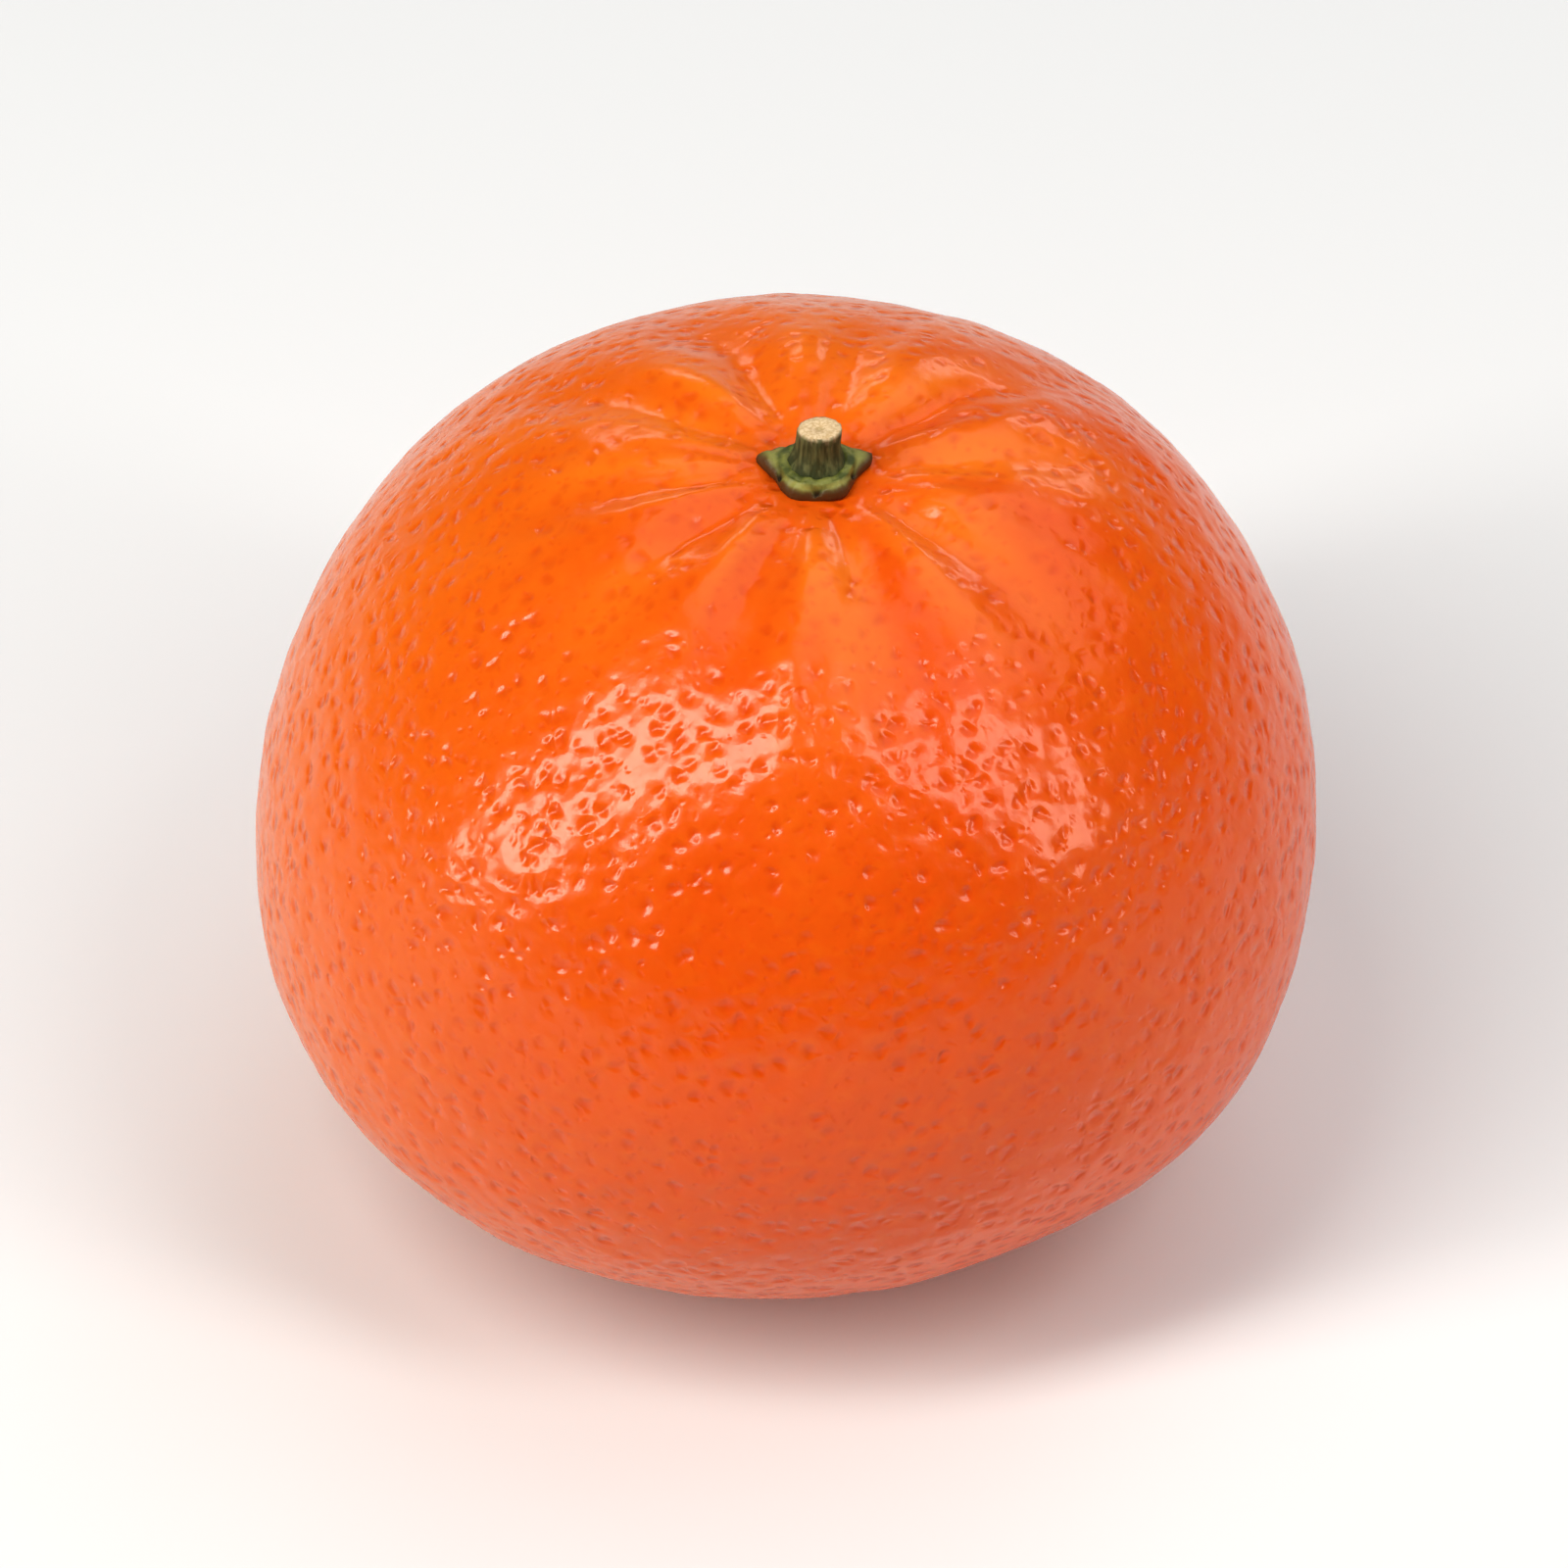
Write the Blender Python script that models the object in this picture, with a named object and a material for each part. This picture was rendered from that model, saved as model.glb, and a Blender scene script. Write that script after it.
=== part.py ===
"""A fresh mandarin with its green calyx and a short cut stem, standing on its blossom end.

Metres, +Z up from the blossom end to the stem end. The origin is on the surface that the fruit stands on,
in the middle of the whole object's box. The stem end leans a little towards +X.
"""

import math

import bmesh
import bpy
from mathutils import Vector

# Fruit: overall sizes, in metres.
FRUIT_DIAMETER = 0.0650
CROWN_HALF = 0.0304  # from the widest ring up to where the crown would close with no hollow
BASE_HALF = 0.0252  # from the widest ring down to where the base would close with no flat spot
CROWN_FULLNESS = 2.06  # a superellipse's exponent: 2 is an ellipse, and more is squarer
BASE_FULLNESS = 2.20
LEAN = 0.0020  # how far the stem end stands to the +X side of the widest ring's middle

# Fruit: the flat spot that it rests on, and the dimple that the flower left in it.
FLAT_RADIUS = 0.0098
DIMPLE_RADIUS = 0.0040
DIMPLE_DEPTH = 0.0007

# Fruit: the hollow round the stem.
HOLLOW_DEPTH = 0.0026
HOLLOW_RADIUS = 0.0080

# Fruit: furrows run out from the calyx over the crown, each between two swelling segments.
# Each has its bearing in degrees from +X, and its depth.
FURROWS = (
    (8, 0.00075),
    (40, 0.00110),
    (77, 0.00055),
    (112, 0.00120),
    (149, 0.00090),
    (186, 0.00060),
    (217, 0.00105),
    (251, 0.00070),
    (286, 0.00085),
    (325, 0.00100),
)
FURROW_HALF_WIDTH = math.radians(10)
FURROW_START = 0.0030  # distances from the axis
FURROW_DEEPEST = 0.0090
FURROW_END = 0.0270

# Fruit: low bulges that put its side out of round.
# Each has its bearing and its elevation in degrees from the middle of the widest ring, and its height.
BULGES = (
    (-25, -22, 0.00170),
    (70, 8, 0.00035),
    (132, 36, 0.00110),
    (205, -18, 0.00030),
)
BULGE_SPREAD = math.radians(28)
BULGE_START = 0.0200  # from the axis, so that the crown's middle and the flat spot stay as they are

# Calyx: a round boss with five fused sepals round it, which follow the hollow.
BOSS_RADIUS = 0.0021
BOSS_HEIGHT = 0.0009
SEPALS = 5
SEPAL_LENGTH = 0.0016  # from the boss's edge out to a sepal's tip
SEPAL_WEB = 0.0003  # from the boss's edge out to the notch between two sepals
SEPAL_EDGE = 0.0004  # thickness at the rim
SEPAL_BEARING = math.radians(18)
SEPAL_SHARPNESS = 1.3  # 1 is a round tip, and more is a blunter one

# Stem stub, cut straight across, standing on the boss.
STEM_NECK_RADIUS = 0.0013
STEM_FLARE = 0.0004  # how much wider the foot is than the neck
STEM_LENGTH = 0.0021
STEM_BEVEL = 0.00025

# The gap between pieces that touch.
GAP = 0.0003

# How finely the round shapes are divided.
FRUIT_SIDES = 72
FRUIT_RINGS = 34
RING_CROWDING = 1.2  # 1 spaces the rings evenly, and more brings them closer at the stem end
DIMPLE_RINGS = 3
CALYX_SIDES = 50
STEM_SIDES = 24

# Worked out from the sizes above.
FRUIT_RADIUS = FRUIT_DIAMETER / 2
FLAT_SHARE = (FLAT_RADIUS / FRUIT_RADIUS) ** BASE_FULLNESS
WIDEST_HEIGHT = BASE_HALF * (1 - FLAT_SHARE) ** (1 / BASE_FULLNESS)


def smooth_step(low, high, value):
    """0 up to low, 1 from high, and an even S between them."""
    share = min(1.0, max(0.0, (value - low) / (high - low)))
    return share * share * (3 - 2 * share)


def crown_height(radius):
    """The crown's height at this distance from the axis, with its hollow and before its furrows."""
    share = min(1.0, radius / FRUIT_RADIUS)
    rise = (1 - share**CROWN_FULLNESS) ** (1 / CROWN_FULLNESS)
    hollow = HOLLOW_DEPTH * math.exp(-((radius / HOLLOW_RADIUS) ** 2))
    return WIDEST_HEIGHT + CROWN_HALF * rise - hollow


def furrow_depth(bearing, radius):
    """How deep the furrows are at this bearing and distance from the axis."""
    reach = smooth_step(FURROW_START, FURROW_DEEPEST, radius)
    reach *= 1 - smooth_step(FURROW_DEEPEST, FURROW_END, radius)
    depth = 0.0
    for degrees, deepest in FURROWS:
        apart = math.remainder(bearing - math.radians(degrees), math.tau)
        depth += deepest * math.exp(-((apart / FURROW_HALF_WIDTH) ** 2))
    return reach * depth


def way(bearing, elevation):
    """The unit vector at this bearing and elevation."""
    across = math.cos(elevation)
    return Vector((across * math.cos(bearing), across * math.sin(bearing), math.sin(elevation)))


def bulge(bearing, radius, height):
    """How far the side stands out of round here."""
    here = way(bearing, math.atan2(height - WIDEST_HEIGHT, radius))
    out = 0.0
    for degrees, elevation, highest in BULGES:
        apart = here.angle(way(math.radians(degrees), math.radians(elevation)), 0.0)
        out += highest * math.exp(-((apart / BULGE_SPREAD) ** 2))
    return out * smooth_step(FLAT_RADIUS, BULGE_START, radius)


def placed(radius, bearing, height):
    """A point of the object from its upright place, moved sideways by the lean of the fruit's axis."""
    stem_seat = crown_height(0.0)
    shift = LEAN * (height - WIDEST_HEIGHT) / (stem_seat - WIDEST_HEIGHT)
    return Vector((radius * math.cos(bearing) + shift, radius * math.sin(bearing), height))


def polar(point):
    """A point's distance from the axis and its bearing."""
    return math.hypot(point.x, point.y), math.atan2(point.y, point.x)


def turned(outline, sides):
    """A bmesh of an outline of (radius, height) points, turned once round the Z axis."""
    mesh = bmesh.new()
    points = [mesh.verts.new((radius, 0.0, height)) for radius, height in outline]
    edges = [mesh.edges.new(pair) for pair in zip(points, points[1:])]
    bmesh.ops.spin(
        mesh,
        geom=points + edges,
        cent=(0, 0, 0),
        axis=(0, 0, 1),
        angle=math.tau,
        steps=sides,
        use_merge=True,
        use_duplicate=False,
    )
    bmesh.ops.remove_doubles(mesh, verts=mesh.verts[:], dist=1e-6)
    return mesh


def material(name, colour, roughness):
    """A plain finish with this linear colour."""
    made = bpy.data.materials.new(name)
    made.use_nodes = True
    shader = made.node_tree.nodes["Principled BSDF"]
    shader.inputs["Base Color"].default_value = (*colour, 1.0)
    shader.inputs["Roughness"].default_value = roughness
    shader.inputs["Metallic"].default_value = 0.0
    return made


def add_piece(name, mesh, finish):
    """Puts a finished bmesh into the scene as one named object, shaded smooth."""
    bmesh.ops.recalc_face_normals(mesh, faces=mesh.faces[:])
    data = bpy.data.meshes.new(name)
    mesh.to_mesh(data)
    mesh.free()
    data.shade_smooth()
    data.set_sharp_from_angle(angle=math.radians(35))
    data.materials.append(finish)
    piece = bpy.data.objects.new(name, data)
    bpy.context.scene.collection.objects.link(piece)
    return piece


def side_outline():
    """The fruit's side as (radius, height), from the stem end down to the flat spot's edge."""
    outline = []
    last_turn = math.pi - math.asin(math.sqrt(FLAT_SHARE))
    for ring in range(FRUIT_RINGS + 1):
        turn = last_turn * (ring / FRUIT_RINGS) ** RING_CROWDING
        if turn < math.pi / 2:
            radius = FRUIT_RADIUS * math.sin(turn) ** (2 / CROWN_FULLNESS)
            height = crown_height(radius)
        else:
            radius = FRUIT_RADIUS * math.sin(turn) ** (2 / BASE_FULLNESS)
            height = WIDEST_HEIGHT - BASE_HALF * (-math.cos(turn)) ** (2 / BASE_FULLNESS)
        outline.append((radius, height))
    outline[-1] = (FLAT_RADIUS, 0.0)
    return outline


def dimple_outline():
    """The dimple in the flat spot as (radius, height), from its edge in to its middle."""
    outline = []
    for ring in range(DIMPLE_RINGS + 1):
        share = 1 - ring / DIMPLE_RINGS
        outline.append((DIMPLE_RADIUS * share, DIMPLE_DEPTH * (1 - smooth_step(0, 1, share))))
    return outline


def make_fruit():
    """Peel and flesh, grown as one solid."""
    mesh = turned(side_outline() + dimple_outline(), FRUIT_SIDES)
    for vert in mesh.verts:
        radius, bearing = polar(vert.co)
        height = vert.co.z
        if height > WIDEST_HEIGHT:
            height -= furrow_depth(bearing, radius)
        radius += bulge(bearing, radius, height)
        vert.co = placed(radius, bearing, height)
    return add_piece("fruit", mesh, material("peel", (0.90, 0.17, 0.01), 0.38))


def sepal_reach(bearing):
    """How far the sepals stand out from the boss at this bearing."""
    from_tip = abs(math.remainder(bearing - SEPAL_BEARING, math.tau / SEPALS)) * SEPALS / math.pi
    narrowing = math.sin(from_tip * math.pi / 2) ** SEPAL_SHARPNESS
    return SEPAL_LENGTH + (SEPAL_WEB - SEPAL_LENGTH) * narrowing


def calyx_seat(bearing, radius):
    """The height of the calyx's underside: level under the boss, and following the fruit beyond it."""
    bed = crown_height(max(radius, BOSS_RADIUS)) - furrow_depth(bearing, radius)
    return bed + GAP


def calyx_outline():
    """The calyx's section at a sepal's tip, as (radius, thickness), from the top's middle to the foot's."""
    rim = BOSS_RADIUS + SEPAL_LENGTH
    return [
        (0.0, BOSS_HEIGHT),
        (BOSS_RADIUS, BOSS_HEIGHT),
        (BOSS_RADIUS + 0.2 * SEPAL_LENGTH, (BOSS_HEIGHT + SEPAL_EDGE) / 2),
        (BOSS_RADIUS + 0.5 * SEPAL_LENGTH, 1.2 * SEPAL_EDGE),
        (BOSS_RADIUS + 0.9 * SEPAL_LENGTH, SEPAL_EDGE),
        (rim, 0.6 * SEPAL_EDGE),
        (BOSS_RADIUS + 0.9 * SEPAL_LENGTH, 0.0),
        (BOSS_RADIUS + 0.5 * SEPAL_LENGTH, 0.0),
        (BOSS_RADIUS, 0.0),
        (0.0, 0.0),
    ]


def make_calyx():
    """Five fused sepals and the boss that the stem grows from, seated in the hollow."""
    mesh = turned(calyx_outline(), CALYX_SIDES)
    for vert in mesh.verts:
        radius, bearing = polar(vert.co)
        if radius > BOSS_RADIUS:
            share = (radius - BOSS_RADIUS) / SEPAL_LENGTH
            radius = BOSS_RADIUS + share * sepal_reach(bearing)
        vert.co = placed(radius, bearing, calyx_seat(bearing, radius) + vert.co.z)
    return add_piece("calyx", mesh, material("calyx_green", (0.12, 0.19, 0.03), 0.55))


def stem_outline():
    """The stub's side as (radius, height), from the middle of the cut down to the middle of its foot."""
    foot_radius = STEM_NECK_RADIUS + STEM_FLARE
    return [
        (0.0, STEM_LENGTH),
        (STEM_NECK_RADIUS - STEM_BEVEL, STEM_LENGTH),
        (STEM_NECK_RADIUS, STEM_LENGTH - STEM_BEVEL),
        (STEM_NECK_RADIUS, 0.45 * STEM_LENGTH),
        (foot_radius, 0.12 * STEM_LENGTH),
        (foot_radius, 0.0),
        (0.0, 0.0),
    ]


def make_stem():
    """The stub that was left on the fruit when it was cut from its twig."""
    mesh = turned(stem_outline(), STEM_SIDES)
    foot = calyx_seat(0.0, 0.0) + BOSS_HEIGHT + GAP
    for vert in mesh.verts:
        radius, bearing = polar(vert.co)
        vert.co = placed(radius, bearing, foot + vert.co.z)
    return add_piece("stem_stub", mesh, material("stem_green", (0.10, 0.14, 0.03), 0.6))


def stand_over_origin(pieces):
    """Moves all the pieces' meshes together, so that the middle of their box is over the origin."""
    points = [vert.co for piece in pieces for vert in piece.data.vertices]
    middle_x = (min(point.x for point in points) + max(point.x for point in points)) / 2
    middle_y = (min(point.y for point in points) + max(point.y for point in points)) / 2
    for piece in pieces:
        for vert in piece.data.vertices:
            vert.co -= Vector((middle_x, middle_y, 0.0))


def main():
    for old in list(bpy.data.objects):
        bpy.data.objects.remove(old)
    stand_over_origin([make_fruit(), make_calyx(), make_stem()])


main()
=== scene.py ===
"""The looks of a fresh mandarin: pitted waxy peel, fleshy green calyx and cut stem, on a pale table."""

import math

import bmesh
import bpy
import numpy as np
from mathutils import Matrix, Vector, noise


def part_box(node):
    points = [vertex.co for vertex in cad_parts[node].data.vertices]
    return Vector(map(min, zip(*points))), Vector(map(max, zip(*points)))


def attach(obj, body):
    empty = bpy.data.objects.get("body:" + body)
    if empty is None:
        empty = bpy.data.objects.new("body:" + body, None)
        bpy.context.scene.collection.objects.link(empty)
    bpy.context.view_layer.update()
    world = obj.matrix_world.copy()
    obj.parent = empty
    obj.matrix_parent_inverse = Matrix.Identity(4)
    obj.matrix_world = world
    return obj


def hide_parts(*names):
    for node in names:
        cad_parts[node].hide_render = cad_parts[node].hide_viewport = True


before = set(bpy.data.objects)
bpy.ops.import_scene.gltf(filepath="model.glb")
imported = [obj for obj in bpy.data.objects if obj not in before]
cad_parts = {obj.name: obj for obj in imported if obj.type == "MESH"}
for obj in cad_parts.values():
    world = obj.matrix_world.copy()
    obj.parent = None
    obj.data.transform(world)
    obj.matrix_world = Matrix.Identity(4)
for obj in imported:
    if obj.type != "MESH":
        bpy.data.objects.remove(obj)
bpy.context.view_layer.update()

FRUIT_LOW, FRUIT_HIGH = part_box("fruit")
MIDDLE = Vector((0.0, 0.0, FRUIT_HIGH[2] / 2))

# Sizes are in metres, bearings in degrees from +X towards +Y, and colours are linear.

# Fruit: its outline below and above the widest ring.
FRUIT_RADIUS = 0.0325
CROWN_HALF = 0.0304
BASE_HALF = 0.0252
CROWN_FULLNESS = 2.06
BASE_FULLNESS = 2.20
LEAN = 0.0020  # how far the stem end stands towards +X
FLAT_RADIUS = 0.0098  # the spot that the fruit stands on
FLAT_SHARE = (FLAT_RADIUS / FRUIT_RADIUS) ** BASE_FULLNESS
WIDEST_HEIGHT = BASE_HALF * (1 - FLAT_SHARE) ** (1 / BASE_FULLNESS)
WIDEST_BLEND = 0.00012  # how gently the furrows end at the widest ring

# Bulges of the side, as (bearing, elevation in degrees, height).
BULGES = (
    (-25, -22, 0.00170),
    (70, 8, 0.00035),
    (132, 36, 0.00110),
    (205, -18, 0.00030),
)
BULGE_SPREAD = math.radians(28)
BULGE_START = 0.0200

# Crown: the hollow round the stem, and furrows as (bearing, depth).
HOLLOW_DEPTH = 0.0026
HOLLOW_RADIUS = 0.0080
FURROWS = (
    (8, 0.00075),
    (40, 0.00110),
    (77, 0.00055),
    (112, 0.00120),
    (149, 0.00090),
    (186, 0.00060),
    (217, 0.00105),
    (251, 0.00070),
    (286, 0.00085),
    (325, 0.00100),
)
FURROW_HALF_WIDTH = math.radians(10)
FURROW_START = 0.0030
FURROW_DEEPEST = 0.0090
FURROW_END = 0.0270

# Blossom end: the dimple and the flower's scar.
DIMPLE_RADIUS = 0.0040
DIMPLE_DEPTH = 0.0007
SCAR_RADIUS = 0.0014

# Peel: its unevenness, and the creases that fan out from the calyx between the furrows.
PEEL_CUTS = 127  # cuts along each edge of the cube that the peel's grid starts from
SWELL_SIZE = 0.0110
SWELL_HEIGHT = 0.00020
RIPPLE_SIZE = 0.0032
RIPPLE_HEIGHT = 0.00011
EVEN_BELOW = 0.0040  # the peel grows even towards the spot that it stands on
CREASE_COUNT = 22
CREASE_DEPTH = 0.00038
CREASE_START = 0.0090
CREASE_REACH = 0.0180
CREASE_CHANGE = 0.0120  # how far a crease runs out before it changes
CREASE_WIDTH = 0.20  # as a share of the fan's noise
CREASE_SHARE = 0.4  # the part of the depth that the mesh has

# Peel: oil glands, each a pit in a shallow dish, with smaller pores and swellings between them.
GLAND_SPACING = 0.00130
GLAND_RADIUS = 0.00057
GLAND_STAIN = 0.00066  # how far a gland darkens the peel
GLAND_SCATTER = 0.85  # 0 would set the glands in even rows
GLAND_WARP = 0.00045  # how far the glands are pulled out of round
WARP_SIZE = 0.0014
DISH_RADIUS = 0.00110
DISH_DEPTH = 0.00004
PIT_DEPTH = 0.000095
PORE_SPACING = 0.00080
PORE_RADIUS = 0.00030
PORE_DEPTH = 0.00003
PEBBLE_SIZE = 0.0016
PEBBLE_HEIGHT = 0.00012
GRAIN_SIZE = 0.0004
GRAIN_HEIGHT = 0.000010

# Peel: colours, and the direction from the fruit's middle of its redder side.
RED_SIDE = (0.62, -0.73, 0.29)
RED_RANGE = (-0.45, 1.15)
PATCH_SIZE = 0.018
FLECK_SIZE = 0.0012
PEEL_ORANGE = (0.77, 0.150, 0.005)
PEEL_RED = (0.74, 0.091, 0.003)
PEEL_FLECK = (0.80, 0.165, 0.007)
# Painted highlight: the crown's ridges are painted paler, standing in for the light that they catch.
RIDGE_PAINTED_HIGHLIGHT = (0.95, 0.26, 0.016)
GLAND_COLOUR = (0.58, 0.034, 0.002)
PORE_COLOUR = (0.62, 0.040, 0.002)
SCAR_COLOUR = (0.075, 0.030, 0.010)

# Calyx: a boss with a raised collar, and sepals as (bearing, length beyond the boss, lift of the tip).
BOSS_RADIUS = 0.0021
BOSS_HEIGHT = 0.0009
COLLAR_RADIUS = 0.00185
COLLAR_HEIGHT = 0.00026
COLLAR_WIDTH = 0.00034
SEPALS = (
    (18, 0.00150, 0.00016),
    (88, 0.00115, 0.00006),
    (165, 0.00155, 0.00022),
    (238, 0.00062, 0.00012),
    (305, 0.00070, 0.00018),
)
SEPAL_WEB = 0.00035  # how far the calyx reaches between two sepals
SEPAL_RAGGEDNESS = 0.28
SEPAL_THICKNESS = 0.00050
SEPAL_THINNEST = 0.00012
SEPAL_CUSHION = 0.00030
SEPAL_CREASE = 0.00040
SEPAL_MIDRIB = 0.00005
SEPAL_SINK = 0.00010  # how far the calyx's underside beds into the peel
CALYX_SIDES = 180
CALYX_GREEN = (0.21, 0.220, 0.055)
CALYX_DARK = (0.068, 0.085, 0.018)
# Painted highlight on the swelling sepal cushions.
CALYX_PAINTED_HIGHLIGHT = (0.36, 0.35, 0.10)
# Painted shade in the sepals' creases.
CALYX_CREASE_PAINTED_SHADE = (0.030, 0.018, 0.006)
CALYX_TIP = (0.095, 0.045, 0.013)

# Stem stub, cut nearly straight across.
STEM_RADIUS = 0.00132
STEM_FOOT_RADIUS = 0.00180
STEM_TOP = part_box("stem_stub")[1][2]
STEM_EDGE = 0.00016  # the rounding of the cut's rim
STEM_SIDES = 96
STEM_STEPS = 12
CUT_RINGS = 8
CUT_TILT = math.tan(math.radians(11))
CUT_BEARING = 1.8  # in radians, the side that the cut lowers to
PITH_RADIUS = 0.00030
BARK_DARK = (0.045, 0.055, 0.018)
BARK_PALE = (0.13, 0.14, 0.055)
CUT_DARK = (0.60, 0.42, 0.23)
CUT_PALE = (0.82, 0.64, 0.42)
PITH_COLOUR = (0.36, 0.25, 0.10)

# Stage.
TABLE_RADIUS = 0.6
TABLE_COLOUR = (0.82, 0.835, 0.875)
WHITE = (1.0, 1.0, 1.0)
DAYLIGHT = (1.0, 0.97, 0.88)
SENSOR_WIDTH = 36.0  # in millimetres, as the lens is


# ---------------------------------------------------------------- numbers and meshes


def smooth_step(low, high, value):
    """0 up to low, 1 from high, and an even S between them."""
    share = np.clip((value - low) / (high - low), 0.0, 1.0)
    return share * share * (3 - 2 * share)


def bell(distance, width):
    """1 at no distance, falling smoothly to almost 0 at two widths."""
    return np.exp(-((distance / width) ** 2))


def angle_from(degrees, bearing):
    """The angle in radians from a bearing in degrees to these bearings, between minus pi and pi."""
    return np.mod(bearing - math.radians(degrees) + math.pi, math.tau) - math.pi


def polar(points):
    """Each point's distance from the Z axis, and its bearing round it in radians."""
    return np.hypot(points[:, 0], points[:, 1]), np.arctan2(points[:, 1], points[:, 0])


def ring_points(bearing, height):
    """Points of a ring of radius 1. Noise read at them meets itself again after a full turn."""
    return np.stack((np.cos(bearing), np.sin(bearing), height + 0 * bearing), axis=-1)


def direction(bearing, elevation):
    """Unit vectors at these bearings and elevations in radians."""
    across = np.cos(elevation)
    return np.stack((across * np.cos(bearing), across * np.sin(bearing), np.sin(elevation)), axis=-1)


def uneven(points, size, seed):
    """Smooth noise between -1 and 1 at these points, with features of this size."""
    offset = Vector((seed * 7.3, seed * 3.1, seed * 5.7))
    return np.array([noise.noise(Vector(point) / size + offset) for point in points])


def mesh_of(name, form):
    """A mesh made from an edit mesh, which it frees."""
    mesh = bpy.data.meshes.new(name)
    form.to_mesh(mesh)
    form.free()
    return mesh


def object_of(name, data):
    """A new object in the scene."""
    made = bpy.data.objects.new(name, data)
    bpy.context.scene.collection.objects.link(made)
    return made


def read_points(mesh):
    """A mesh's points as an array with three columns."""
    points = np.empty(len(mesh.vertices) * 3)
    mesh.vertices.foreach_get("co", points)
    return points.reshape(-1, 3)


def write_points(mesh, points):
    """Moves a mesh's points."""
    mesh.vertices.foreach_set("co", points.reshape(-1))
    mesh.update()


def add_field(mesh, name, values):
    """Keeps one or three numbers for each point of a mesh, which its material reads by this name."""
    kind, key = ("FLOAT_VECTOR", "vector") if values.ndim == 2 else ("FLOAT", "value")
    field = mesh.attributes.new(name, kind, "POINT")
    field.data.foreach_set(key, np.ascontiguousarray(values, dtype=np.float32).reshape(-1))


def turned(name, outline, sides):
    """A closed mesh of an outline of (radius, height) points, turned once round the Z axis."""
    form = bmesh.new()
    points = [form.verts.new((radius, 0.0, height)) for radius, height in outline]
    edges = [form.edges.new(pair) for pair in zip(points, points[1:])]
    bmesh.ops.spin(
        form,
        geom=points + edges,
        cent=(0, 0, 0),
        axis=(0, 0, 1),
        angle=math.tau,
        steps=sides,
        use_merge=True,
        use_duplicate=False,
    )
    bmesh.ops.remove_doubles(form, verts=form.verts[:], dist=1e-7)
    bmesh.ops.recalc_face_normals(form, faces=form.faces[:])
    mesh = mesh_of(name, form)
    mesh.shade_smooth()
    return mesh


# ---------------------------------------------------------------- material nodes


def node_of(tree, kind, **values):
    """A new node with these input values and properties."""
    node = tree.nodes.new(kind)
    for name, value in values.items():
        if name in node.inputs:
            node.inputs[name].default_value = value
        else:
            setattr(node, name, value)
    return node


def feed(tree, socket, value):
    """Gives a socket a number, a colour or another node's output."""
    if isinstance(value, tuple):
        socket.default_value = (*value, 1.0)
    elif isinstance(value, (int, float)):
        socket.default_value = value
    else:
        tree.links.new(value, socket)


def math_of(tree, operation, first, second):
    """The result of a sum or a product, for instance."""
    node = node_of(tree, "ShaderNodeMath", operation=operation)
    feed(tree, node.inputs[0], first)
    feed(tree, node.inputs[1], second)
    return node.outputs["Value"]


def blend_of(tree, share, first, second):
    """The first colour where share is 0, the second where it is 1."""
    node = node_of(tree, "ShaderNodeMix", data_type="RGBA")
    feed(tree, node.inputs["Factor"], share)
    feed(tree, node.inputs[6], first)
    feed(tree, node.inputs[7], second)
    return node.outputs[2]


def ramp_of(tree, value, low, high, start=0.0, end=1.0):
    """Maps a value from low..high to start..end on a smooth S, held at both ends."""
    node = node_of(tree, "ShaderNodeMapRange", interpolation_type="SMOOTHSTEP")
    node.inputs["From Min"].default_value = low
    node.inputs["From Max"].default_value = high
    node.inputs["To Min"].default_value = start
    node.inputs["To Max"].default_value = end
    tree.links.new(value, node.inputs["Value"])
    return node.outputs["Result"]


def noise_of(tree, place, size, detail=2.0, roughness=0.5):
    """Noise between 0 and 1 with features of this size."""
    node = node_of(tree, "ShaderNodeTexNoise", Scale=1 / size, Detail=detail, Roughness=roughness)
    tree.links.new(place, node.inputs["Vector"])
    return node.outputs["Fac"]


def field_of(tree, name, output="Fac"):
    """What a mesh keeps for each of its points under this name."""
    return node_of(tree, "ShaderNodeAttribute", attribute_name=name).outputs[output]


def bump_of(tree, height, depth, under=None, strength=1.0):
    """The surface's normal once a height of 0 to 1 has raised it by this depth, or sunk it if negative."""
    node = node_of(tree, "ShaderNodeBump", invert=depth < 0, Strength=strength, Distance=abs(depth))
    tree.links.new(height, node.inputs["Height"])
    if under:
        tree.links.new(under, node.inputs["Normal"])
    return node.outputs["Normal"]


def gland_field(tree, place, spacing, *radii):
    """For each radius, a field that is 1 in a gland's middle and 0 from that radius outwards."""
    stray = node_of(tree, "ShaderNodeTexNoise", Scale=1 / WARP_SIZE, Detail=1.0)
    warp = node_of(tree, "ShaderNodeVectorMath", operation="MULTIPLY_ADD")
    warp.inputs[1].default_value = (2 * GLAND_WARP,) * 3
    cells = node_of(tree, "ShaderNodeTexVoronoi", voronoi_dimensions="3D", feature="F1")
    cells.inputs["Scale"].default_value = 1 / spacing
    cells.inputs["Randomness"].default_value = GLAND_SCATTER
    tree.links.new(place, stray.inputs["Vector"])
    tree.links.new(stray.outputs["Color"], warp.inputs[0])
    tree.links.new(place, warp.inputs[2])
    tree.links.new(warp.outputs["Vector"], cells.inputs["Vector"])
    return [ramp_of(tree, cells.outputs["Distance"], 0.0, radius / spacing, 1.0, 0.0) for radius in radii]


def blank_material(name, roughness, specular):
    """A new material with its gloss: returns it, its nodes, its shader and the place on the object."""
    made = bpy.data.materials.new(name)
    made.use_nodes = True
    tree = made.node_tree
    shader = tree.nodes["Principled BSDF"]
    shader.inputs["Roughness"].default_value = roughness
    shader.inputs["Specular IOR Level"].default_value = specular
    place = tree.nodes.new("ShaderNodeTexCoord").outputs["Object"]
    return made, tree, shader, place


# ---------------------------------------------------------------- peel


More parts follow.
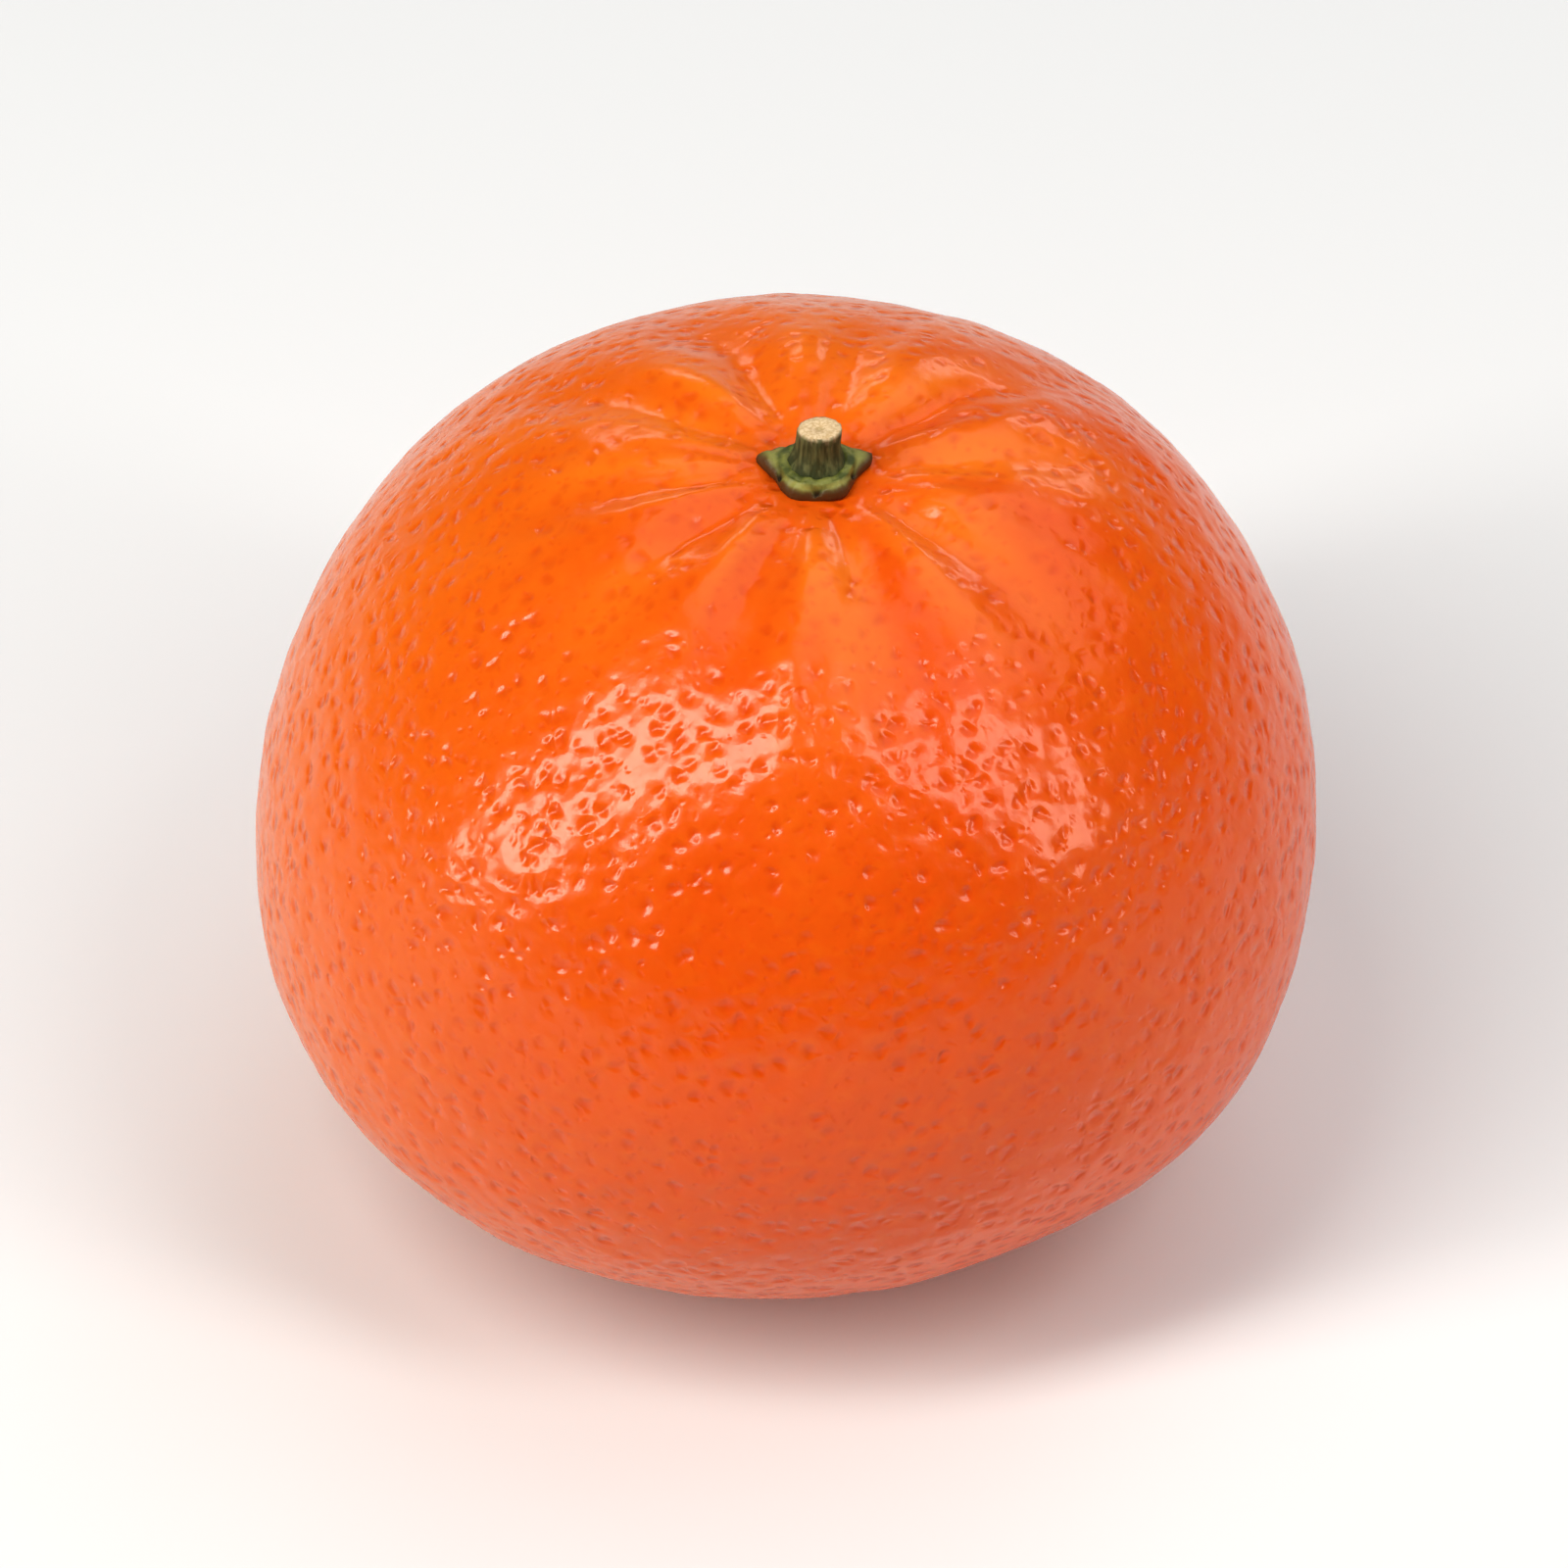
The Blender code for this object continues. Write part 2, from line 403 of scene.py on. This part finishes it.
def crown_height(radius):
    """The crown's height with its hollow and before its furrows."""
    share = np.minimum(1.0, radius / FRUIT_RADIUS)
    rise = (1 - share**CROWN_FULLNESS) ** (1 / CROWN_FULLNESS)
    return WIDEST_HEIGHT + CROWN_HALF * rise - HOLLOW_DEPTH * bell(radius, HOLLOW_RADIUS)


def furrow_depth(bearing, radius):
    """How deep the furrows are at this bearing and distance from the axis."""
    reach = smooth_step(FURROW_START, FURROW_DEEPEST, radius)
    reach = reach * (1 - smooth_step(FURROW_DEEPEST, FURROW_END, radius))
    depth = 0.0
    for degrees, deepest in FURROWS:
        depth = depth + deepest * bell(angle_from(degrees, bearing), FURROW_HALF_WIDTH)
    return reach * depth


def bulge(bearing, radius, height):
    """How far the side stands out of round."""
    here = direction(bearing, np.arctan2(height - WIDEST_HEIGHT, radius))
    out = 0.0
    for degrees, elevation, highest in BULGES:
        there = direction(math.radians(degrees), math.radians(elevation))
        out = out + highest * bell(np.arccos(np.clip(here @ there, -1.0, 1.0)), BULGE_SPREAD)
    return out * smooth_step(FLAT_RADIUS, BULGE_START, radius)


def placed(radius, bearing, height):
    """Points of the fruit from their upright places, moved sideways by the lean of its axis."""
    shift = LEAN * (height - WIDEST_HEIGHT) / (crown_height(0.0) - WIDEST_HEIGHT)
    points = ring_points(bearing, 0.0) * radius[:, None]
    points[:, 0] += shift
    points[:, 2] = height
    return points


def ball_grid(cuts):
    """A round ball of even quads, made from a divided cube."""
    ball = bmesh.new()
    bmesh.ops.create_cube(ball, size=2.0)
    bmesh.ops.subdivide_edges(ball, edges=ball.edges[:], cuts=cuts, use_grid_fill=True)
    mesh = mesh_of("peel", ball)
    spread = np.tan(read_points(mesh) * math.pi / 4)
    write_points(mesh, spread / np.linalg.norm(spread, axis=1, keepdims=True))
    return mesh


def fruit_points(ways):
    """Where the peel's surface lies in each of these directions from the middle of the widest ring."""
    flat, bearing = polar(ways)
    up = ways[:, 2]
    crown = up >= 0
    radius = FRUIT_RADIUS * flat ** np.where(crown, 2 / CROWN_FULLNESS, 2 / BASE_FULLNESS)
    height = np.where(
        crown,
        crown_height(radius) - furrow_depth(bearing, radius),
        WIDEST_HEIGHT - BASE_HALF * np.abs(up) ** (2 / BASE_FULLNESS),
    )
    height = (height + np.sqrt(height * height + WIDEST_BLEND * WIDEST_BLEND)) / 2
    dimple = DIMPLE_DEPTH * (1 - smooth_step(0.0, DIMPLE_RADIUS, radius))
    height = height + np.where(crown, 0.0, dimple)
    return placed(radius + bulge(bearing, radius, height), bearing, height)


def crown_fan(points):
    """Each point's place in the fan of creases round the calyx, and how strong the creases are there."""
    radius, bearing = polar(points - (LEAN, 0, 0))
    turn = CREASE_COUNT / math.tau
    fan = np.stack((turn * np.cos(bearing), turn * np.sin(bearing), radius / CREASE_CHANGE), axis=-1)
    reach = smooth_step(BOSS_RADIUS, CREASE_START, radius) * bell(radius, CREASE_REACH)
    return fan, np.where(points[:, 2] < WIDEST_HEIGHT, 0.0, reach)


def crease_peel(points, ways):
    """Gives the even surface its swellings, ripples and creases."""
    lift = SWELL_HEIGHT * uneven(points, SWELL_SIZE, 1) + RIPPLE_HEIGHT * uneven(points, RIPPLE_SIZE, 2)
    lift *= smooth_step(0.0, EVEN_BELOW, points[:, 2])
    fan, reach = crown_fan(points)
    lift -= CREASE_SHARE * CREASE_DEPTH * reach * bell(uneven(fan, 1.0, 3), CREASE_WIDTH)
    return points + ways * lift[:, None]


def dish_glands(peel):
    """Presses a shallow dish into the peel's mesh over each oil gland, and leaves no modifier behind."""
    tree = bpy.data.node_groups.new("gland_dishes", "GeometryNodeTree")
    tree.interface.new_socket(name="Mesh", in_out="INPUT", socket_type="NodeSocketGeometry")
    tree.interface.new_socket(name="Mesh", in_out="OUTPUT", socket_type="NodeSocketGeometry")
    start = tree.nodes.new("NodeGroupInput")
    end = tree.nodes.new("NodeGroupOutput")
    place = tree.nodes.new("GeometryNodeInputPosition")
    out = tree.nodes.new("GeometryNodeInputNormal")
    move = tree.nodes.new("GeometryNodeSetPosition")
    press = node_of(tree, "ShaderNodeVectorMath", operation="SCALE")
    (dish,) = gland_field(tree, place.outputs["Position"], GLAND_SPACING, DISH_RADIUS)
    tree.links.new(out.outputs["Normal"], press.inputs[0])
    tree.links.new(math_of(tree, "MULTIPLY", dish, -DISH_DEPTH), press.inputs["Scale"])
    tree.links.new(start.outputs["Mesh"], move.inputs["Geometry"])
    tree.links.new(press.outputs["Vector"], move.inputs["Offset"])
    tree.links.new(move.outputs["Geometry"], end.inputs["Mesh"])
    modifier = peel.modifiers.new("gland_dishes", "NODES")
    modifier.node_group = tree
    pressed = bpy.data.meshes.new_from_object(peel.evaluated_get(bpy.context.evaluated_depsgraph_get()))
    peel.modifiers.remove(modifier)
    bpy.data.node_groups.remove(tree)
    plain = peel.data
    peel.data = pressed
    pressed.name = "peel"
    bpy.data.meshes.remove(plain)


def add_peel_fields(mesh, points):
    """Keeps for each point where its crease, its redness and the flower's scar are."""
    fan, reach = crown_fan(points)
    add_field(mesh, "fan", fan)
    add_field(mesh, "reach", reach)
    add_field(mesh, "redness", (points - (0, 0, WIDEST_HEIGHT)) @ np.array(RED_SIDE) / FRUIT_RADIUS)
    blossom_end = placed(np.zeros(1), np.zeros(1), np.array([DIMPLE_DEPTH]))
    away = np.linalg.norm(points - blossom_end, axis=1)
    add_field(mesh, "scar", 1 - smooth_step(0.4, 1.0, away / SCAR_RADIUS))


def shift_onto_cad(points):
    """The move that stands the peel where the CAD's fruit stands."""
    middle = (points.min(axis=0) + points.max(axis=0)) / 2
    return np.array((
        (FRUIT_LOW[0] + FRUIT_HIGH[0]) / 2 - middle[0],
        (FRUIT_LOW[1] + FRUIT_HIGH[1]) / 2 - middle[1],
        FRUIT_LOW[2] - points[:, 2].min(),
    ))


def peel_material():
    """Waxy peel: redder on one side, a highlight painted along the crown's ridges, darker glands and fine
    pits in the gloss.
    """
    made, tree, shader, place = blank_material("peel", roughness=0.225, specular=0.5)
    shader.inputs["IOR"].default_value = 1.45
    shader.inputs["Subsurface Weight"].default_value = 0.10
    shader.inputs["Subsurface Radius"].default_value = (1.0, 0.28, 0.05)
    shader.inputs["Subsurface Scale"].default_value = 0.002
    dish, gland, stain = gland_field(tree, place, GLAND_SPACING, DISH_RADIUS, GLAND_RADIUS, GLAND_STAIN)
    (pore,) = gland_field(tree, place, PORE_SPACING, PORE_RADIUS)
    reach = field_of(tree, "reach")
    fan = node_of(tree, "ShaderNodeTexNoise", Scale=1.0, Detail=1.0, Roughness=0.4)
    tree.links.new(field_of(tree, "fan", "Vector"), fan.inputs["Vector"])
    # The ridges shape the crown's relief and also carry a painted highlight.
    ridge = math_of(tree, "MULTIPLY", ramp_of(tree, fan.outputs["Fac"], 0.28, 0.72), reach)

    patches = math_of(tree, "MULTIPLY", noise_of(tree, place, PATCH_SIZE), 0.5)
    redness = ramp_of(tree, math_of(tree, "ADD", field_of(tree, "redness"), patches), *RED_RANGE)
    flecks = ramp_of(tree, noise_of(tree, place, FLECK_SIZE), 0.45, 0.75, 0.0, 0.2)
    colour = blend_of(tree, redness, PEEL_ORANGE, PEEL_RED)
    colour = blend_of(tree, flecks, colour, PEEL_FLECK)
    # Painted highlight: paler colour along the crown's ridges.
    colour = blend_of(tree, math_of(tree, "MULTIPLY", ridge, 0.70), colour, RIDGE_PAINTED_HIGHLIGHT)
    colour = blend_of(tree, math_of(tree, "MULTIPLY", stain, 0.36), colour, GLAND_COLOUR)
    colour = blend_of(tree, math_of(tree, "MULTIPLY", pore, 0.25), colour, PORE_COLOUR)
    colour = blend_of(tree, field_of(tree, "scar"), colour, SCAR_COLOUR)
    tree.links.new(colour, shader.inputs["Base Color"])

    open_peel = ramp_of(tree, reach, 0.0, 0.8, 1.0, 0.35)
    pebbles = noise_of(tree, place, PEBBLE_SIZE, 1.0)
    relief = bump_of(tree, ridge, CREASE_DEPTH)
    layers = ((dish, -DISH_DEPTH), (gland, -PIT_DEPTH), (pore, -PORE_DEPTH), (pebbles, PEBBLE_HEIGHT))
    for height, depth in layers:
        relief = bump_of(tree, math_of(tree, "MULTIPLY", height, open_peel), depth, relief)
    relief = bump_of(tree, noise_of(tree, place, GRAIN_SIZE), GRAIN_HEIGHT, relief)
    tree.links.new(relief, shader.inputs["Normal"])
    return made


def make_peel():
    """The peel's piece. Returns how far it moved to stand where the CAD's fruit stands."""
    mesh = ball_grid(PEEL_CUTS)
    ways = read_points(mesh)
    write_points(mesh, crease_peel(fruit_points(ways), ways))
    mesh.shade_smooth()
    peel = object_of("peel", mesh)
    dish_glands(peel)
    points = read_points(peel.data)
    add_peel_fields(peel.data, points)
    shift = shift_onto_cad(points)
    write_points(peel.data, points + shift)
    peel.data.shade_smooth()
    peel.data.materials.clear()
    peel.data.materials.append(peel_material())
    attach(peel, "root")
    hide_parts("fruit")
    return shift


# ---------------------------------------------------------------- calyx


def sepal_place(bearing):
    """Each bearing's place across its sepal, from -1 to 1 with 0 at the midrib, its length and its lift."""
    across = np.zeros_like(bearing)
    length = np.zeros_like(bearing)
    lift = np.zeros_like(bearing)
    for index, (degrees, longest, highest) in enumerate(SEPALS):
        before = (degrees - SEPALS[index - 1][0]) % 360 / 2
        after = (SEPALS[(index + 1) % len(SEPALS)][0] - degrees) % 360 / 2
        apart = np.degrees(angle_from(degrees, bearing))
        own = (apart >= -before) & (apart < after)
        across[own] = np.where(apart < 0, apart / before, apart / after)[own]
        length[own] = longest
        lift[own] = highest
    return across, length, lift


def calyx_outline():
    """The calyx's section as (radius, side): radius 1 is the boss's edge, 2 a tip; side is 1 on top."""
    top = [(radius, 1.0) for radius in (0.0, 0.35, 0.6, 0.7, 0.78, 0.84, 0.9, 0.96)]
    top += [(1 + step / 16, 1.0) for step in range(16)]
    top += [(1.97, 0.9), (1.995, 0.5)]
    under = [(1.97, 0.05), (1.8, 0.0), (1.4, 0.0), (1.0, 0.0), (0.0, 0.0)]
    return top + under


def calyx_material():
    """Olive sepals with a painted highlight where they swell and painted shade in their creases, dried brown
    at their tips.
    """
    made, tree, shader, place = blank_material("calyx_green", roughness=0.50, specular=0.4)
    patches = ramp_of(tree, noise_of(tree, place, 0.0009, 3.0), 0.35, 0.65)
    rise = ramp_of(tree, field_of(tree, "rise"), 0.25, 0.95, 0.0, 0.65)
    colour = blend_of(tree, patches, CALYX_DARK, CALYX_GREEN)
    # Painted highlight: the sepals are paler where their cushions swell.
    colour = blend_of(tree, rise, colour, CALYX_PAINTED_HIGHLIGHT)
    # Painted shade: the sepals' creases are darkened.
    colour = blend_of(tree, ramp_of(tree, field_of(tree, "crease"), 0.2, 0.9), colour, CALYX_CREASE_PAINTED_SHADE)
    colour = blend_of(tree, field_of(tree, "tip"), colour, CALYX_TIP)
    tree.links.new(colour, shader.inputs["Base Color"])
    relief = bump_of(tree, noise_of(tree, place, 0.00022, 3.0), 0.00006, strength=0.8)
    tree.links.new(relief, shader.inputs["Normal"])
    return made


def make_calyx(shift):
    """Five fleshy fused sepals with creases between them, darkened by painted shade, round a collar that
    holds the stem.
    """
    mesh = turned("calyx_sepals", calyx_outline(), CALYX_SIDES)
    flat = read_points(mesh)
    share, bearing = polar(flat)
    side = flat[:, 2]
    ring = ring_points(bearing, 0.0)
    across, length, lift = sepal_place(bearing)
    length = length * (1 + SEPAL_RAGGEDNESS * uneven(ring, 0.22, 4))
    narrowing = 1 - np.sin(np.abs(across) * math.pi / 2) ** 1.15
    out = np.maximum(share - 1, 0.0)
    radius = BOSS_RADIUS * np.minimum(share, 1.0) + out * (SEPAL_WEB + (length - SEPAL_WEB) * narrowing)

    crease = bell(1 - np.abs(across), 0.20) * smooth_step(0.0, 0.5, out)
    cushion = (1 - across**2) * np.sin(math.pi * np.minimum(out, 1.0))
    midrib = bell(across, 0.10) * smooth_step(0.0, 0.2, out) * (1 - smooth_step(0.6, 1.0, out))
    collar = bell(radius - COLLAR_RADIUS, COLLAR_WIDTH) * (1 + 0.5 * uneven(ring, 0.35, 5))
    slope = smooth_step(0.0, 0.55, out)
    thickness = BOSS_HEIGHT * (1 - slope) + SEPAL_THICKNESS * slope * (1 - 0.55 * out**3)
    thickness += COLLAR_HEIGHT * collar
    thickness += SEPAL_CUSHION * cushion - SEPAL_CREASE * crease + SEPAL_MIDRIB * midrib

    bed = crown_height(np.maximum(radius, BOSS_RADIUS)) - furrow_depth(bearing, radius) - SEPAL_SINK
    raised = SEPAL_SINK + np.maximum(thickness, SEPAL_THINNEST)
    height = bed + raised * side + lift * out**2 * (0.35 + 0.65 * side)
    points = placed(radius, bearing, height) + shift
    grain = 0.00012 * uneven(points, 0.0007, 6) + 0.00003 * uneven(points, 0.00025, 7)
    points[:, 2] += grain * side
    write_points(mesh, points)
    # The crease field also sets where the calyx's material paints shade.
    add_field(mesh, "crease", crease)
    add_field(mesh, "tip", smooth_step(0.40, 0.90, out + 0.20 * uneven(points, 0.0007, 8)))
    # The cushion field is where the calyx's material paints its highlight.
    add_field(mesh, "rise", cushion)
    mesh.materials.append(calyx_material())
    calyx = object_of("calyx_sepals", mesh)
    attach(calyx, "root")
    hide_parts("calyx")


# ---------------------------------------------------------------- stem


def stem_outline(length):
    """The stub's section as (radius, height): the cut, its rounded rim, and sides that flare to the foot."""
    outline = [(STEM_RADIUS * step / CUT_RINGS, length) for step in range(CUT_RINGS)]
    outline.append((STEM_RADIUS - 0.35 * STEM_EDGE, length - 0.15 * STEM_EDGE))
    outline.append((STEM_RADIUS, length - STEM_EDGE))
    for step in range(1, STEM_STEPS + 1):
        down = step / STEM_STEPS
        flare = (STEM_FOOT_RADIUS - STEM_RADIUS) * smooth_step(0.35, 1.0, down)
        outline.append((STEM_RADIUS + float(flare), (length - STEM_EDGE) * (1 - down)))
    return outline + [(0.0, 0.0)]


def stem_material():
    """Dark green bark with paler streaks down its sides, and a cream cut with a darker pith."""
    made, tree, shader, place = blank_material("stem_green", roughness=0.62, specular=0.35)
    stretch = node_of(tree, "ShaderNodeMapping")
    stretch.inputs["Scale"].default_value = (1.0, 1.0, 0.18)
    tree.links.new(place, stretch.inputs["Vector"])
    along = stretch.outputs["Vector"]
    streaks = ramp_of(tree, noise_of(tree, along, 0.00035, 3.0), 0.40, 0.66)
    fibres = ramp_of(tree, noise_of(tree, place, 0.00018, 3.0), 0.35, 0.70)
    pith = ramp_of(tree, field_of(tree, "pith"), 0.3, 0.9, 0.0, 0.55)
    bark = blend_of(tree, streaks, BARK_DARK, BARK_PALE)
    pale = blend_of(tree, pith, blend_of(tree, fibres, CUT_DARK, CUT_PALE), PITH_COLOUR)
    tree.links.new(blend_of(tree, field_of(tree, "cut"), bark, pale), shader.inputs["Base Color"])
    relief = bump_of(tree, noise_of(tree, along, 0.00016, 3.0), 0.00006, strength=0.7)
    tree.links.new(relief, shader.inputs["Normal"])
    return made


def make_stem(shift):
    """The cut stub: fluted green sides that flare into the collar, and a pale cut with a sunk pith."""
    foot = crown_height(0.0) + BOSS_HEIGHT * 0.6
    length = STEM_TOP - foot
    mesh = turned("stem_cut", stem_outline(length), STEM_SIDES)
    round_points = read_points(mesh)
    radius, bearing = polar(round_points)
    up = round_points[:, 2] / length
    cut = smooth_step(1 - 1.6 * STEM_EDGE / length, 1 - 0.4 * STEM_EDGE / length, up)
    ring = ring_points(bearing, 0.25 * up)
    flutes = 0.00010 * uneven(ring, 0.30, 9) + 0.00005 * uneven(ring, 0.12, 10)
    radius = radius + flutes * np.minimum(1.0, radius / STEM_RADIUS) ** 4
    sunk = 0.00012 * bell(radius, PITH_RADIUS) - 0.00006 * bell(radius - 0.0008, 0.0003)
    sunk = sunk + CUT_TILT * radius * np.cos(bearing - CUT_BEARING)
    points = placed(radius, bearing, foot + round_points[:, 2] - cut * sunk) + shift
    points[:, 2] += cut * 0.00003 * uneven(points, 0.00022, 11)
    write_points(mesh, points)
    add_field(mesh, "cut", cut * (1 - smooth_step(0.93 * STEM_RADIUS, 1.02 * STEM_RADIUS, radius)))
    add_field(mesh, "pith", cut * bell(radius, 0.00034))
    mesh.materials.append(stem_material())
    stem = object_of("stem_cut", mesh)
    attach(stem, "root")
    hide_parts("stem_stub")


# ---------------------------------------------------------------- stage


def make_table():
    """A plain pale round table top, far wider than the view."""
    made, _, shader, _ = blank_material("table", roughness=0.7, specular=0.2)
    shader.inputs["Base Color"].default_value = (*TABLE_COLOUR, 1.0)
    sheet = bmesh.new()
    bmesh.ops.create_circle(sheet, cap_ends=True, segments=96, radius=TABLE_RADIUS)
    mesh = mesh_of("table", sheet)
    mesh.materials.append(made)
    object_of("table", mesh)


def aim(thing, bearing, elevation, distance):
    """Stands a lamp or the camera off the fruit, looking at it. This bearing runs from -Y towards +X."""
    across = math.cos(math.radians(elevation))
    away = Vector((
        across * math.sin(math.radians(bearing)),
        -across * math.cos(math.radians(bearing)),
        math.sin(math.radians(elevation)),
    ))
    thing.location = MIDDLE + away * distance
    thing.rotation_euler = (-away).to_track_quat("-Z", "Y").to_euler()


def make_light(name, bearing, elevation, distance, size, watts, roll=0, colour=WHITE):
    """A lamp with a rectangle of this width and height, turned by roll about its own aim."""
    lamp = bpy.data.lights.new(name, "AREA")
    lamp.shape = "RECTANGLE"
    lamp.size, lamp.size_y = size
    lamp.energy = watts
    lamp.color = colour
    light = object_of(name, lamp)
    aim(light, bearing, elevation, distance)
    light.rotation_euler.rotate_axis("Z", math.radians(roll))


def make_world(overhead, surround):
    """A dim room, with a paler surround up to just above the table's level."""
    world = bpy.data.worlds.new("studio")
    world.use_nodes = True
    tree = world.node_tree
    height = tree.nodes.new("ShaderNodeSeparateXYZ")
    tree.links.new(tree.nodes.new("ShaderNodeTexCoord").outputs["Generated"], height.inputs["Vector"])
    glow = ramp_of(tree, height.outputs["Z"], 0.02, 0.16, surround, overhead)
    tree.links.new(glow, tree.nodes["Background"].inputs["Strength"])
    tree.nodes["Background"].inputs["Color"].default_value = (*WHITE, 1.0)
    bpy.context.scene.world = world


def make_camera(bearing, elevation, distance, frame_width):
    """A camera whose frame is this wide at the fruit."""
    lens = bpy.data.cameras.new("camera")
    lens.sensor_width = SENSOR_WIDTH
    lens.lens = SENSOR_WIDTH * distance / frame_width
    camera = object_of("camera", lens)
    aim(camera, bearing, elevation, distance)
    bpy.context.scene.camera = camera


bpy.context.scene.view_settings.view_transform = "Standard"
bpy.context.scene.view_settings.look = "Medium High Contrast"
make_camera(0, 44.5, distance=0.430, frame_width=0.097)
make_world(overhead=0.06, surround=0.40)
make_light("left_window", -61, 45, 0.60, (0.115, 0.78), watts=3.35, roll=-15, colour=DAYLIGHT)
make_light("right_window", 61, 41, 0.60, (0.12, 0.60), watts=1.42, roll=11, colour=DAYLIGHT)
make_light("ceiling", 130, 64, 0.80, (0.80, 0.80), watts=1.95)
make_light("far_left", -168, 25, 0.80, (0.25, 0.10), watts=0.26)
make_light("far_right", 154, 21, 0.80, (0.25, 0.10), watts=0.26)
make_table()
shift = make_peel()
make_calyx(shift)
make_stem(shift)
